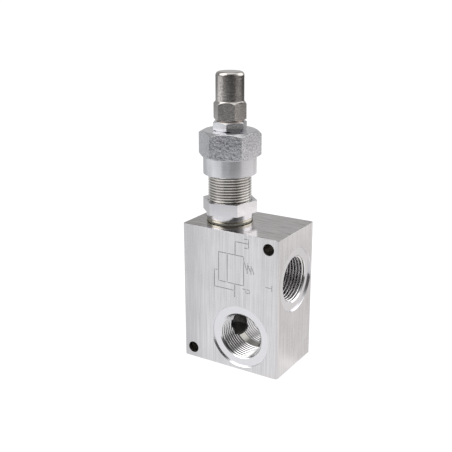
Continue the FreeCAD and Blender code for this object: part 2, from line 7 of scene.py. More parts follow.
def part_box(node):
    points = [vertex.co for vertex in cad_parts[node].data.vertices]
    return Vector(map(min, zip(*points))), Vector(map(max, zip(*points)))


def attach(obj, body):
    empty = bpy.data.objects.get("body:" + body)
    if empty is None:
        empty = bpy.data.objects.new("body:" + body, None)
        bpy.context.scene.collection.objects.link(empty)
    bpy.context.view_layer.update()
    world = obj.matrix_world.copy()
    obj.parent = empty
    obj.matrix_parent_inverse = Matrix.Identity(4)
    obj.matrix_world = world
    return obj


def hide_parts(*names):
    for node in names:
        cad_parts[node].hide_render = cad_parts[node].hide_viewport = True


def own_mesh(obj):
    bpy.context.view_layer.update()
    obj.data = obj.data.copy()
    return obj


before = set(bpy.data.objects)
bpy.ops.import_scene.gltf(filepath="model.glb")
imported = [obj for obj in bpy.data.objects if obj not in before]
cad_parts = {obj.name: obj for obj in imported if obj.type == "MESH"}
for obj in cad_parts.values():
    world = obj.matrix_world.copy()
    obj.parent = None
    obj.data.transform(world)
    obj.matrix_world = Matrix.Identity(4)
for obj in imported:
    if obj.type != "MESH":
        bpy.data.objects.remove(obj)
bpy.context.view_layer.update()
scene = bpy.context.scene
mm = 0.001
cartridgeX = -11.8  # mm, the cartridge stands upright here, at y = 0
# Axes of the ports in mm. The upper port is the nearer one from the heights between upwards.
portAxes = {"lowX": 6.7, "lowZ": 19.7, "highZ": 51.5, "between": (35.0, 36.0)}
print("frame loaded", len(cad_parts), "nodes")


class Wire:
    # A socket that takes part in sums. Every sign adds one Math node.
    def __init__(self, graph, socket):
        self.graph = graph
        self.socket = socket

    def join(self, operation, first, second):
        return self.graph.node("ShaderNodeMath", {"operation": operation}, {0: first, 1: second})

    def __add__(self, other):
        return self.join("ADD", self, other)

    def __radd__(self, other):
        return self.join("ADD", other, self)

    def __sub__(self, other):
        return self.join("SUBTRACT", self, other)

    def __rsub__(self, other):
        return self.join("SUBTRACT", other, self)

    def __mul__(self, other):
        return self.join("MULTIPLY", self, other)

    def __rmul__(self, other):
        return self.join("MULTIPLY", other, self)

    def __truediv__(self, other):
        return self.join("DIVIDE", self, other)

    def __rtruediv__(self, other):
        return self.join("DIVIDE", other, self)

    def __pow__(self, other):
        return self.join("POWER", self, other)

    def __rpow__(self, other):
        return self.join("POWER", other, self)

    def least(self, other):
        return self.join("MINIMUM", self, other)

    def most(self, other):
        return self.join("MAXIMUM", self, other)

    def size(self):
        return self.join("ABSOLUTE", self, 0.0)

    def step(self, low, high):
        # 0 below low, 1 above high, smooth between them. low may be the larger.
        settings = {"interpolation_type": "SMOOTHSTEP"}
        values = {"Value": self, "From Min": low, "From Max": high, "To Min": 0.0, "To Max": 1.0}
        return self.graph.node("ShaderNodeMapRange", settings, values)


class Graph:
    def __init__(self, tree):
        self.tree = tree

    def node(self, kind, settings=None, values=None, output=0):
        made = self.tree.nodes.new(kind)
        for name, value in (settings or {}).items():
            setattr(made, name, value)
        for key, value in (values or {}).items():
            if isinstance(value, Wire):
                self.tree.links.new(value.socket, made.inputs[key])
            else:
                made.inputs[key].default_value = value
        return Wire(self, made.outputs[output]) if made.outputs else made

    def parts(self, vector):
        split = self.tree.nodes.new("ShaderNodeSeparateXYZ")
        self.tree.links.new(vector.socket, split.inputs[0])
        return [Wire(self, socket) for socket in split.outputs]

    def vector(self, x, y, z):
        return self.node("ShaderNodeCombineXYZ", None, {0: x, 1: y, 2: z})

    def stretched(self, vector, scale):
        return self.node("ShaderNodeVectorMath", {"operation": "MULTIPLY"}, {0: vector, 1: scale})

    def noise(self, vector, scale, detail=2.0, roughness=0.5):
        values = {"Vector": vector, "Scale": scale, "Detail": detail, "Roughness": roughness}
        return self.node("ShaderNodeTexNoise", None, values)

    def mixed(self, share, first, second):
        # Sockets 6, 7 and 2 are the ones for colours
        return self.node("ShaderNodeMix", {"data_type": "RGBA"}, {0: share, 6: first, 7: second}, 2)

    def mixedShaders(self, share, first, second):
        return self.node("ShaderNodeMixShader", None, {0: share, 1: first, 2: second})


# Lengths in these looks are in mm. Grain and bands are how fast the pattern changes along x, y
# and z, rings how fast it changes away from and along the cartridge's axis. A painted edge shade on
# the sides and a painted shade on the top darken the block along x, from where each starts to where
# it is full. Pits lie above the height pitsFrom.
finishes = {
    "extrudedAluminium": {
        "light": (0.885, 0.87, 0.88), "dark": (0.585, 0.575, 0.585), "roughness": 0.34,
        "grain": (2.6, 2.6, 0.035), "grainShade": 0.75, "grainHeight": 0.003,
        "bands": (0.55, 0.55, 0.008), "bandShade": 0.22,
        "clouds": 0.2, "paintedEdgeShade": 0.30, "edgeStart": -10.0, "edgeFull": -28.0,
        "top": {
            "light": (0.74, 0.715, 0.71), "dark": (0.34, 0.32, 0.315), "roughness": 0.15,
            "saw": (0.08, 0.9, 0.9), "sawEdges": (0.3, 0.7), "sawGloss": 0.08, "sawHeight": 0.0008,
            "paintedTopShade": 0.4, "paintedTopShadeStart": -10.0, "paintedTopShadeFull": -22.0, "toneEdges": (-0.5, 1.0),
        },
    },
    "boredAluminium": {
        "light": (0.90, 0.89, 0.91), "dark": (0.72, 0.715, 0.73), "roughness": 0.24,
        "clouds": 0.2, "portRings": 0.5,
    },
    "cavityAluminium": {
        "light": (0.92, 0.91, 0.90), "dark": (0.62, 0.61, 0.60), "roughness": 0.40,
        "clouds": 0.2, "rings": 3.0, "ringShade": 0.4, "ringHeight": 0.001,
    },
    # Painted shade: the plain band behind the lower ports' threads is coloured dark
    "shadedBandAluminium": {
        "light": (0.46, 0.45, 0.42), "dark": (0.28, 0.27, 0.25), "roughness": 0.26,
        "clouds": 0.3, "portRings": 0.3,
    },
    # Painted shade: the mounting holes are coloured dark inside
    "shadedHoleAluminium": {
        "light": (0.62, 0.60, 0.55), "dark": (0.26, 0.25, 0.23), "roughness": 0.5,
        "clouds": 0.6, "grain": (0.8, 2.5, 0.8), "grainShade": 0.6, "grainHeight": 0.01,
    },
    # Painted shade: the marks' dots are coloured near black
    "shadedDotAluminium": {
        "light": (0.10, 0.10, 0.105), "dark": (0.05, 0.05, 0.052), "roughness": 0.5, "clouds": 0.4,
    },
    "threadedAluminium": {
        "light": (1.0, 0.99, 0.99), "dark": (0.24, 0.235, 0.23), "roughness": 0.11,
        "clouds": 0.25, "grain": (1.2, 1.2, 1.2), "grainShade": 0.2, "grainHeight": 0.001,
        "paintedCrestLight": 0.15, "paintedRootShade": 0.75, "rootRadius": 13.1, "crestRadius": 12.3,
    },
    # Painted light: a lighter copy of the threaded aluminium for the upper port's thread, whose inside gets
    # little light
    "litThreadAluminium": {
        "light": (1.0, 0.99, 0.99), "dark": (0.46, 0.45, 0.45), "roughness": 0.30,
        "clouds": 0.25, "grain": (1.2, 1.2, 1.2), "grainShade": 0.2, "grainHeight": 0.001,
        "paintedCrestLight": 0.50, "paintedRootShade": 0.70, "rootRadius": 13.1, "crestRadius": 12.3,
    },
    "turnedSteel": {
        "light": (0.82, 0.80, 0.77), "dark": (0.50, 0.48, 0.46), "roughness": 0.17,
        "rings": 5.0, "ringShade": 0.3, "ringHeight": 0.001, "clouds": 0.25,
    },
    "threadedSteel": {
        "light": (1.0, 0.98, 0.95), "dark": (0.38, 0.365, 0.35), "roughness": 0.15,
        "rings": 5.0, "ringShade": 0.2, "ringHeight": 0.001, "clouds": 0.25,
        "paintedCrestLight": 0.31, "paintedRootShade": 0.66, "rootRadius": 11.1, "crestRadius": 11.75,
    },
    "housingSteel": {
        "light": (0.96, 0.96, 0.99), "dark": (0.42, 0.42, 0.44), "roughness": 0.25,
        "rings": 5.0, "ringShade": 0.25, "ringHeight": 0.0015, "clouds": 0.2,
        "grain": (2.5, 2.5, 0.08), "grainShade": 0.08, "grainHeight": 0.0005,
        "pits": 0.80, "pitShade": 1.0, "pitHeight": 0.24, "pitsFrom": 115.2, "pitsMost": 292.5,
    },
    "nutSteel": {
        "light": (0.84, 0.83, 0.85), "dark": (0.60, 0.59, 0.61), "roughness": 0.17,
        "rings": 4.0, "ringShade": 0.15, "ringHeight": 0.001, "clouds": 0.25,
        "grain": (2.0, 2.0, 0.1), "grainShade": 0.15, "grainHeight": 0.001,
    },
    "lockNutSteel": {
        "light": (0.95, 0.96, 1.0), "dark": (0.44, 0.42, 0.42), "roughness": 0.15,
        "clouds": 0.2, "pits": 1.6, "pitShade": 0.6, "pitHeight": 0.08,
        "pitsFrom": 100.0, "pitsMost": 320.2,
    },
    "capSteel": {
        "light": (0.86, 0.825, 0.79), "dark": (0.38, 0.355, 0.335), "roughness": 0.13,
        "rings": 7.0, "ringShade": 0.2, "ringHeight": 0.001, "clouds": 0.3,
        "pits": 1.1, "pitShade": 0.8, "pitHeight": 0.10, "pitsFrom": 100.0, "pitsMost": 300.0,
    },
    "yellowPlating": {
        "light": (0.78, 0.75, 0.65), "dark": (0.50, 0.47, 0.38), "roughness": 0.22,
        "rings": 5.0, "ringShade": 0.3, "ringHeight": 0.001, "clouds": 0.4,
    },
    "hardenedSteel": {
        "light": (0.60, 0.60, 0.62), "dark": (0.42, 0.42, 0.44), "roughness": 0.22,
        "rings": 8.0, "ringShade": 0.3, "ringHeight": 0.001, "clouds": 0.2,
    },
    "springSteel": {
        "light": (0.36, 0.35, 0.36), "dark": (0.22, 0.21, 0.22), "roughness": 0.36,
        "clouds": 0.4, "grain": (2.0, 2.0, 2.0), "grainShade": 0.4, "grainHeight": 0.004,
    },
    "annealedCopper": {
        "light": (0.62, 0.42, 0.31), "dark": (0.40, 0.25, 0.17), "roughness": 0.36,
        "clouds": 0.5, "rings": 4.0, "ringShade": 0.2, "ringHeight": 0.001,
    },
}


# Shared by all the metals. Scales are changes per mm and heights are in mm. A gloss is how far its
# pattern moves the roughness.
wear = {
    "upright": (0.75, 0.45),  # z of the normal: from the first up it is a top, from the second down a side
    "cloudScale": 0.09, "cloudGloss": 0.5, "glossLevel": 0.85, "grainGloss": 0.12, "ringGloss": 0.1,
    "portRingScale": 4.0, "portRingHeight": 0.002,
    "pitSide": (0.55, 0.90), "pitLeast": 0.45, "pitEdges": (0.52, 0.40), "pitFade": 0.2,
    "pitGloss": 0.10, "flatGloss": 0.04,
}


def colour(rgb):
    return (rgb[0], rgb[1], rgb[2], 1.0)


def newGraph(name):
    material = bpy.data.materials.new(name)
    material.use_nodes = True
    material.node_tree.nodes.clear()
    return material, Graph(material.node_tree)


def close(graph, shader):
    graph.node("ShaderNodeOutputMaterial", None, {"Surface": shader})


def objectPoint(graph):
    place = graph.node("ShaderNodeTexCoord", output="Object")
    return graph.node("ShaderNodeVectorMath", {"operation": "SCALE"}, {0: place, "Scale": 1 / mm})


def portRing(graph, x, y, z):
    # Distance from the axis of the nearer port: the upper port runs along X, the lower two along Y
    upper = z.step(*portAxes["between"])
    frontAcross, frontUp, sideUp = x - portAxes["lowX"], z - portAxes["lowZ"], z - portAxes["highZ"]
    frontRing = (frontAcross * frontAcross + frontUp * frontUp) ** 0.5
    sideRing = (y * y + sideUp * sideUp) ** 0.5
    return frontRing * (1.0 - upper) + sideRing * upper


def metal(name, look):
    material, graph = newGraph(name)
    point = objectPoint(graph)
    x, y, z = graph.parts(point)
    acrossX = x - cartridgeX
    fromAxis = (acrossX * acrossX + y * y) ** 0.5
    normal = graph.node("ShaderNodeNewGeometry", output="Normal")
    upright = graph.parts(normal)[2].size().step(*wear["upright"])

    # Slow clouds of wear, then the marks of the tool that made the surface
    clouds = graph.noise(point, wear["cloudScale"], detail=3.0)
    tone = 0.5 + (clouds - 0.5) * (2.0 * look["clouds"])
    roughness = look["roughness"] * (wear["glossLevel"] + wear["cloudGloss"] * (clouds - 0.5))
    height = clouds * 0.0  # level, until a mark below adds to it
    if "grain" in look:
        grain = graph.noise(graph.stretched(point, look["grain"]), 1.0, detail=3.0, roughness=0.6)
        tone = tone + (grain - 0.5) * (2.0 * look["grainShade"]) * upright
        roughness = roughness + (grain - 0.5) * wear["grainGloss"] * upright
        height = height + grain * look["grainHeight"] * upright
    if "bands" in look:
        bands = graph.noise(graph.stretched(point, look["bands"]), 1.0)
        tone = tone + (bands - 0.5) * (2.0 * look["bandShade"]) * upright
    # Painted shade: the block gets darker towards its left edge
    if "paintedEdgeShade" in look:
        tone = tone - x.step(look["edgeStart"], look["edgeFull"]) * look["paintedEdgeShade"]
    if "rings" in look:
        turning = graph.noise(graph.vector(fromAxis, z, 0.0), look["rings"], roughness=0.7)
        tone = tone + (turning - 0.5) * (2.0 * look["ringShade"])
        roughness = roughness + (turning - 0.5) * wear["ringGloss"]
        height = height + turning * look["ringHeight"]
    if "portRings" in look:
        ring = graph.vector(portRing(graph, x, y, z), 0.0, 0.0)
        cutting = graph.noise(ring, wear["portRingScale"], roughness=0.7)
        tone = tone + (cutting - 0.5) * look["portRings"]
        height = height + cutting * wear["portRingHeight"]
    if "paintedRootShade" in look:
        # Painted shade in the roots of the thread and a painted highlight on its crests, with oil and grey
        # residue in the roots as well. An outside thread has its roots nearer its axis.
        ring = fromAxis if look["rootRadius"] < look["crestRadius"] else portRing(graph, x, y, z)
        deep = ring.step(look["crestRadius"], look["rootRadius"])
        tone = tone + look["paintedCrestLight"] - deep * look["paintedRootShade"]
    share = tone.step(0.0, 1.0)
    if "pits" in look:
        # Rolled hexagon bar: pits lie on the flats, most of them on the flat that faces pitsMost degrees
        facing = math.radians(look["pitsMost"])
        towards = (acrossX * math.cos(facing) + y * math.sin(facing)) / fromAxis
        worn = wear["pitLeast"] + (1 - wear["pitLeast"]) * towards.step(*wear["pitSide"])
        onFlats = upright * z.step(look["pitsFrom"] - wear["pitFade"], look["pitsFrom"]) * worn
        speckle = graph.noise(point, look["pits"], detail=3.0, roughness=0.75)
        pits = speckle.step(*wear["pitEdges"]) * onFlats
        share = share * (1.0 - pits * look["pitShade"])
        roughness = roughness + pits * wear["pitGloss"] + onFlats * wear["flatGloss"]
        height = height + speckle * look["pitHeight"] * onFlats
    surface = graph.mixed(share, colour(look["dark"]), colour(look["light"]))
    if "top" in look:
        top = look["top"]
        stroke = graph.noise(graph.stretched(point, top["saw"]), 1.0, detail=4.0, roughness=0.7)
        sawn = stroke.step(*top["sawEdges"])
        onTop = 1.0 - upright
        # Painted shade: the top gets darker towards the left
        sawnAndShaded = sawn - x.step(top["paintedTopShadeStart"], top["paintedTopShadeFull"]) * top["paintedTopShade"]
        sawnColour = graph.mixed(sawnAndShaded.step(*top["toneEdges"]), colour(top["dark"]), colour(top["light"]))
        surface = graph.mixed(onTop, surface, sawnColour)
        roughness = roughness * upright + (top["roughness"] + (sawn - 0.5) * top["sawGloss"]) * onTop
        height = height + sawn * top["sawHeight"] * onTop
    bump = graph.node("ShaderNodeBump", None, {"Strength": 1.0, "Distance": mm, "Height": height})
    shader = graph.node("ShaderNodeBsdfPrincipled", None, {
        "Base Color": surface, "Metallic": 1.0, "Roughness": roughness, "Normal": bump,
    })
    close(graph, shader)
    return material


# Rubber and plastic, with soft clouds in the colour and a fine skin. The skin's height is in mm.
softStuff = {
    "blackRubber": {"light": (0.045, 0.045, 0.048), "dark": (0.02, 0.02, 0.02), "roughness": 0.42},
    # Oily gloss, and painted light: the mouth ring is coloured lighter than the black rubber
    "oilAndSheenRubber": {"light": (0.38, 0.37, 0.33), "dark": (0.20, 0.195, 0.175), "roughness": 0.2},
    "whitePtfe": {"light": (0.86, 0.86, 0.83), "dark": (0.76, 0.76, 0.73), "roughness": 0.38},
}
softSkin = {"cloudScale": 0.4, "cloudGloss": 0.1, "fineScale": 6.0, "fineHeight": 0.01, "strength": 0.5}


def plastic(name, look):
    material, graph = newGraph(name)
    point = objectPoint(graph)
    clouds = graph.noise(point, softSkin["cloudScale"], detail=3.0)
    fine = graph.noise(point, softSkin["fineScale"], detail=3.0)
    bump = graph.node("ShaderNodeBump", None, {
        "Strength": softSkin["strength"], "Distance": mm, "Height": fine * softSkin["fineHeight"],
    })
    shader = graph.node("ShaderNodeBsdfPrincipled", None, {
        "Base Color": graph.mixed(clouds, colour(look["dark"]), colour(look["light"])),
        "Roughness": look["roughness"] + (clouds - 0.5) * softSkin["cloudGloss"], "Normal": bump,
    })
    close(graph, shader)
    return material


materials = {name: metal(name, look) for name, look in finishes.items()}
materials.update({name: plastic(name, look) for name, look in softStuff.items()})
print("materials made", len(materials))


def newObject(name, mesh, coat=None):
    made = bpy.data.objects.new(name, mesh)
    scene.collection.objects.link(made)
    if coat:
        mesh.materials.append(materials[coat])
    return made


def settle(piece):
    # Turns the piece's modifiers into a plain mesh
    state = bpy.context.evaluated_depsgraph_get()
    state.update()
    finished = piece.evaluated_get(state)
    piece.data = bpy.data.meshes.new_from_object(finished, preserve_all_data_layers=True, depsgraph=state)
    piece.modifiers.clear()
    return piece


def turnOutwards(mesh):
    edit = bmesh.new()
    edit.from_mesh(mesh)
    bmesh.ops.recalc_face_normals(edit, faces=edit.faces)
    edit.to_mesh(mesh)
    edit.free()


def fromPoints(name, points, faces, coat):
    mesh = bpy.data.meshes.new(name)
    mesh.from_pydata([tuple(point) for point in points], [], faces)
    turnOutwards(mesh)
    return newObject(name, mesh, coat)


def lathe(name, outline, steps, coat, centre=(cartridgeX, 0, 0), along=(0, 0, 1)):
    # Closed solid of revolution. The outline runs from axis to axis, in mm: (radius, place along the axis).
    turn = Vector((0, 0, 1)).rotation_difference(Vector(along)).to_matrix()
    points, rows, faces = [], [], []
    for radius, distance in outline:
        row = []
        for step in range(steps if radius > 0 else 1):
            angle = 2 * math.pi * step / steps
            place = Vector((radius * math.cos(angle), radius * math.sin(angle), distance))
            row.append(len(points))
            points.append((turn @ place + Vector(centre)) * mm)
        rows.append(row)
    for low, high in zip(rows, rows[1:]):
        for step in range(steps):
            after = (step + 1) % steps
            lower = [low[step % len(low)], low[after % len(low)]]
            upper = [high[after % len(high)], high[step % len(high)]]
            corners = list(dict.fromkeys(lower + upper))  # at a pole two of them are one point
            if len(corners) > 2:
                faces.append(corners)
    return fromPoints(name, points, faces, coat)


def cut(piece, cutters):
    for cutter in cutters:
        modifier = piece.modifiers.new("cut", "BOOLEAN")
        modifier.operation = "DIFFERENCE"
        modifier.solver = "MANIFOLD"
        modifier.material_mode = "TRANSFER"
        modifier.object = cutter
        settle(piece)
        bpy.data.objects.remove(cutter)
    return piece


# Angles are in degrees and lengths in mm. Faces from flatArea up, in square mm, are shaded flat.
surfaceWork = {
    "segments": 2, "roundAbove": 25.0, "sharpAbove": 32.0, "flatArea": 20.0,
    "mergeWithin": 0.0005, "flatWithin": 0.3,
}


def smoothed(piece, edgeRadius=0.0, sharpAbove=surfaceWork["sharpAbove"]):
    # Rounds the edges a little, then shades the round faces smooth and keeps the flats flat
    if edgeRadius:
        bevel = piece.modifiers.new("edge", "BEVEL")
        bevel.width = edgeRadius * mm
        bevel.segments = surfaceWork["segments"]
        bevel.limit_method = "ANGLE"
        bevel.angle_limit = math.radians(surfaceWork["roundAbove"])
        bevel.use_clamp_overlap = True
        settle(piece)
    for face in piece.data.polygons:
        face.use_smooth = face.area < surfaceWork["flatArea"] * mm * mm
    piece.data.set_sharp_from_angle(angle=math.radians(sharpAbove))
    weighted = piece.modifiers.new("normals", "WEIGHTED_NORMAL")
    weighted.keep_sharp = True
    weighted.weight = 100
    return settle(piece)


def copyOf(node, name, coat):
    # A merged copy of a CAD node, with its flats as single faces
    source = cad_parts[node].data
    mesh = bpy.data.meshes.new(name)
    points = [vertex.co for vertex in source.vertices]
    mesh.from_pydata(points, [], [list(face.vertices) for face in source.polygons])
    edit = bmesh.new()
    edit.from_mesh(mesh)
    flat = math.radians(surfaceWork["flatWithin"])
    bmesh.ops.remove_doubles(edit, verts=edit.verts, dist=surfaceWork["mergeWithin"] * mm)
    bmesh.ops.dissolve_limit(edit, angle_limit=flat, verts=edit.verts, edges=edit.edges)
    edit.to_mesh(mesh)
    edit.free()
    return newObject(name, mesh, coat)


def stands(piece, node, body):
    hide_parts(node)
    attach(piece, body)
    print(piece.name, "done,", len(piece.data.polygons), "faces")


def newTree(name, sizes, takesMesh=False):
    tree = bpy.data.node_groups.new(name, "GeometryNodeTree")
    tree.interface.new_socket(name="Geometry", in_out="OUTPUT", socket_type="NodeSocketGeometry")
    if takesMesh:
        tree.interface.new_socket(name="Geometry", in_out="INPUT", socket_type="NodeSocketGeometry")
    for label, value in sizes.items():
        kind = "NodeSocketInt" if isinstance(value, int) else "NodeSocketFloat"
        socket = tree.interface.new_socket(name=label, in_out="INPUT", socket_type=kind)
        socket.default_value = value
    tree.interface.new_socket(name="Material", in_out="INPUT", socket_type="NodeSocketMaterial")
    graph = Graph(tree)
    entry = tree.nodes.new("NodeGroupInput")
    wires = {socket.name: Wire(graph, socket) for socket in entry.outputs if socket.name}
    return graph, wires


def closeTree(graph, geometry, coat):
    whole = graph.node("GeometryNodeRealizeInstances", None, {0: geometry})
    coated = graph.node("GeometryNodeSetMaterial", None, {"Geometry": whole, "Material": coat})
    graph.node("NodeGroupOutput", None, {0: coated})


def grown(name, graph, values, coat, mesh=None):
    # Runs a tree once and keeps the plain mesh that it makes
    piece = newObject(name, mesh or bpy.data.meshes.new(name))
    modifier = piece.modifiers.new("grow", "NODES")
    modifier.node_group = graph.tree
    for item in graph.tree.interface.items_tree:
        if item.in_out == "INPUT" and item.name in values:
            modifier[item.identifier] = values[item.name]
        if item.in_out == "INPUT" and item.name == "Material":
            modifier[item.identifier] = materials[coat]
    return settle(piece)


def grooveTree():
    # A helical groove cutter, upright from the origin. Its section is a rounded thread form that
    # reaches from just off the crest to the root. Depth is counted outwards.
    graph, size = newTree("threadGroove", {
        "Radius": 0.01, "Pitch": 0.001, "Turns": 5.0, "Points Per Turn": 96,
        "Depth": 0.001, "Off Crest": 0.00004, "Width Share": 0.97, "Section Points": 15,
    })
    spiral = graph.node("GeometryNodeCurveSpiral", None, {
        "Resolution": size["Points Per Turn"], "Rotations": size["Turns"],
        "Start Radius": size["Radius"], "End Radius": size["Radius"],
        "Height": size["Pitch"] * size["Turns"], "Reverse": True,
    })
    upright = graph.node("GeometryNodeSetCurveNormal", {"mode": "Z_UP"}, {"Curve": spiral})
    line = graph.node("GeometryNodeCurvePrimitiveLine")
    spread = graph.node("GeometryNodeResampleCurve", None, {"Curve": line, "Count": size["Section Points"]})
    share = graph.node("GeometryNodeSplineParameter")
    wave = graph.node("ShaderNodeMath", {"operation": "COSINE"}, {0: share * (2 * math.pi)})
    deep = (0.5 - wave * 0.5) * (size["Depth"] + size["Off Crest"]) - size["Off Crest"]
    across = (share - 0.5) * size["Pitch"] * size["Width Share"]
    form = graph.node("GeometryNodeSetPosition", None, {
        "Geometry": spread, "Position": graph.vector(deep, across, 0.0),
    })
    section = graph.node("GeometryNodeSetSplineCyclic", None, {"Geometry": form, "Cyclic": True})
    swept = graph.node("GeometryNodeCurveToMesh", None, {
        "Curve": upright, "Profile Curve": section, "Fill Caps": True,
    })
    closeTree(graph, swept, size["Material"])
    return graph


def ringTree():
    graph, size = newTree("roundRing", {
        "Radius": 0.01, "Section Radius": 0.001, "Steps": 128, "Section Steps": 20, "Height": 0.0,
    })
    way = graph.node("GeometryNodeCurvePrimitiveCircle", {"mode": "RADIUS"}, {
        "Resolution": size["Steps"], "Radius": size["Radius"],
    })
    section = graph.node("GeometryNodeCurvePrimitiveCircle", {"mode": "RADIUS"}, {
        "Resolution": size["Section Steps"], "Radius": size["Section Radius"],
    })
    swept = graph.node("GeometryNodeCurveToMesh", None, {"Curve": way, "Profile Curve": section})
    moved = graph.node("GeometryNodeTransform", None, {
        "Geometry": swept, "Translation": graph.vector(cartridgeX * mm, 0.0, size["Height"]),
    })
    closeTree(graph, moved, size["Material"])
    return graph


def coilTree():
    # Spring wire: closed end turns, open turns between them, both ends ground flat
    graph, size = newTree("springCoil", {
        "Mean Radius": 0.006, "Wire Width": 0.0026, "Wire Height": 0.0025, "Bottom": 0.0,
        "Length": 0.05, "Total Turns": 10.0, "Closed Turns": 1.0, "Closed Pitch": 0.0026,
        "Open Pitch": 0.0056, "Start": 0.0, "Points": 500, "Corner Radius": 0.0004, "Corner Steps": 3,
    })
    line = graph.node("GeometryNodeCurvePrimitiveLine")
    spread = graph.node("GeometryNodeResampleCurve", None, {"Curve": line, "Count": size["Points"]})
    share = graph.node("GeometryNodeSplineParameter")
    turns = share * size["Total Turns"]
    openTurns = (turns - size["Closed Turns"]).most(0.0)
    openTurns = openTurns.least(size["Total Turns"] - size["Closed Turns"] * 2.0)
    height = size["Start"] + turns * size["Closed Pitch"]
    height = height + openTurns * (size["Open Pitch"] - size["Closed Pitch"])
    angle = turns * (2 * math.pi)
    cosine = graph.node("ShaderNodeMath", {"operation": "COSINE"}, {0: angle})
    sine = graph.node("ShaderNodeMath", {"operation": "SINE"}, {0: angle})
    place = graph.vector(cosine * size["Mean Radius"], sine * size["Mean Radius"], height)
    wound = graph.node("GeometryNodeSetPosition", None, {"Geometry": spread, "Position": place})
    upright = graph.node("GeometryNodeSetCurveNormal", {"mode": "Z_UP"}, {"Curve": wound})
    section = graph.node("GeometryNodeCurvePrimitiveQuadrilateral", {"mode": "RECTANGLE"}, {
        "Width": size["Wire Width"], "Height": size["Wire Height"],
    })
    rounded = graph.node("GeometryNodeFilletCurve", {"mode": "POLY"}, {
        "Curve": section, "Radius": size["Corner Radius"], "Count": size["Corner Steps"],
    })
    wire = graph.node("GeometryNodeCurveToMesh", None, {
        "Curve": upright, "Profile Curve": rounded, "Fill Caps": True,
    })
    x, y, z = graph.parts(graph.node("GeometryNodeInputPosition"))
    flat = z.most(size["Bottom"]).least(size["Bottom"] + size["Length"])
    ground = graph.node("GeometryNodeSetPosition", None, {
        "Geometry": wire, "Position": graph.vector(x + cartridgeX * mm, y, flat),
    })
    closeTree(graph, ground, size["Material"])
    return graph


def dotTree():
    # Small cones along drawn lines, for marks that are peened into a face that looks towards -Y
    graph, size = newTree("peenedDots", {
        "Spacing": 0.0004, "Dot Radius": 0.00017, "Dot Depth": 0.0002, "Overrun": 0.00005, "Dot Sides": 10,
    }, takesMesh=True)
    lines = graph.node("GeometryNodeMeshToCurve", None, {"Mesh": size["Geometry"]})
    stops = graph.node("GeometryNodeCurveToPoints", {"mode": "LENGTH"}, {
        "Curve": lines, "Length": size["Spacing"],
    })
    apart = stops
    for closest in (2.1, 2.02):  # dot radii. A merge can move dots together, so a second one follows.
        apart = graph.node("GeometryNodeMergeByDistance", None, {
            "Geometry": apart, "Distance": size["Dot Radius"] * closest,
        })
    cone = graph.node("GeometryNodeMeshCone", None, {
        "Vertices": size["Dot Sides"], "Radius Top": 0.0, "Radius Bottom": size["Dot Radius"],
        "Depth": size["Dot Depth"],
    })
    raised = graph.node("GeometryNodeTransform", None, {
        "Geometry": cone, "Translation": graph.vector(0.0, size["Overrun"] * -1.0, 0.0),
        "Rotation": (-math.pi / 2, 0.0, 0.0),
    })
    dots = graph.node("GeometryNodeInstanceOnPoints", None, {"Points": apart, "Instance": raised})
    closeTree(graph, dots, size["Material"])
    return graph


groove = grooveTree()


def threadCutter(name, look, start, length, centre, along, coat):
    # look is in mm. An inside thread has a depth above 0, an outside thread one below 0.
    cutter = grown(name, groove, {
        "Radius": look["radius"] * mm, "Pitch": look["pitch"] * mm, "Turns": length / look["pitch"],
        "Points Per Turn": look["steps"], "Depth": look["depth"] * mm,
        "Off Crest": math.copysign(look["offCrest"], look["depth"]) * mm, "Width Share": look["widthShare"],
    }, coat)
    turn = Vector((0, 0, 1)).rotation_difference(Vector(along)).to_matrix().to_4x4()
    place = (Vector(centre) + Vector(along) * start) * mm
    cutter.data.transform(Matrix.Translation(place) @ turn)
    turnOutwards(cutter.data)
    return cutter


# The block, in mm. Cutters start and end outside the metal by overrun. The holes are (x, z) and run
# from front to back, and the cavity is a lathe outline on the cartridge's axis.
block = {
    "width": 60.0, "depth": 40.0, "height": 79.0, "cornerRadius": 1.8, "cornerSteps": 8,
    "sawnEdge": 0.35, "sawnEdgeShare": 0.3, "steps": 160, "sharpAbove": 42.0, "overrun": 1.0,
    "holeRadius": 3.25, "holes": ((-23.8, 5.8), (23.8, 73.2)), "holeSteps": 64,
    "cavity": (
        (0, 6.28), (10.35, 12.5), (10.35, 38.99), (11.25, 41.46), (11.25, 58.85), (11.9, 59.5),
        (11.9, 78.2), (12.7, 79.0), (12.7, 80.0), (0, 80.0),
    ),
}
sideX, faceY = block["width"] / 2, block["depth"] / 2
# Every port has a spot face, a countersunk mouth, a thread and a plain band behind the thread
port = {
    "radius": 12.06, "pitch": 1.814, "depth": 1.16, "offCrest": 0.05, "widthShare": 0.85, "steps": 108,
    "mouthRadius": 13.25, "spotRadius": 17.65, "spotDepth": 1.0, "spotEdge": 0.25,
    "bandRadius": 12.0, "bandOverrun": 0.01, "threadLead": 0.4,
}
ports = (
    {"name": "pFront", "centre": (portAxes["lowX"], -faceY, portAxes["lowZ"]), "along": (0, 1, 0),
     "thread": 15.5, "length": 20.0, "coat": "threadedAluminium", "band": "shadedBandAluminium"},
    {"name": "pBack", "centre": (portAxes["lowX"], faceY, portAxes["lowZ"]), "along": (0, -1, 0),
     "thread": 19.0, "length": 20.0, "coat": "threadedAluminium", "band": "shadedBandAluminium"},
    {"name": "tSide", "centre": (sideX, 0.0, portAxes["highZ"]), "along": (-1, 0, 0),
     "thread": 16.0, "length": 41.8, "coat": "litThreadAluminium", "band": "boredAluminium"},
)


def roundedRectangle(width, depth, radius, steps, height):
    points = []
    for turn, (cornerX, cornerY) in enumerate(((1, 1), (-1, 1), (-1, -1), (1, -1))):
        for step in range(steps + 1):
            angle = math.pi / 2 * (turn + step / steps)
            x = cornerX * (width / 2 - radius) + radius * math.cos(angle)
            y = cornerY * (depth / 2 - radius) + radius * math.sin(angle)
            points.append(Vector((x, y, height)) * mm)
    return points


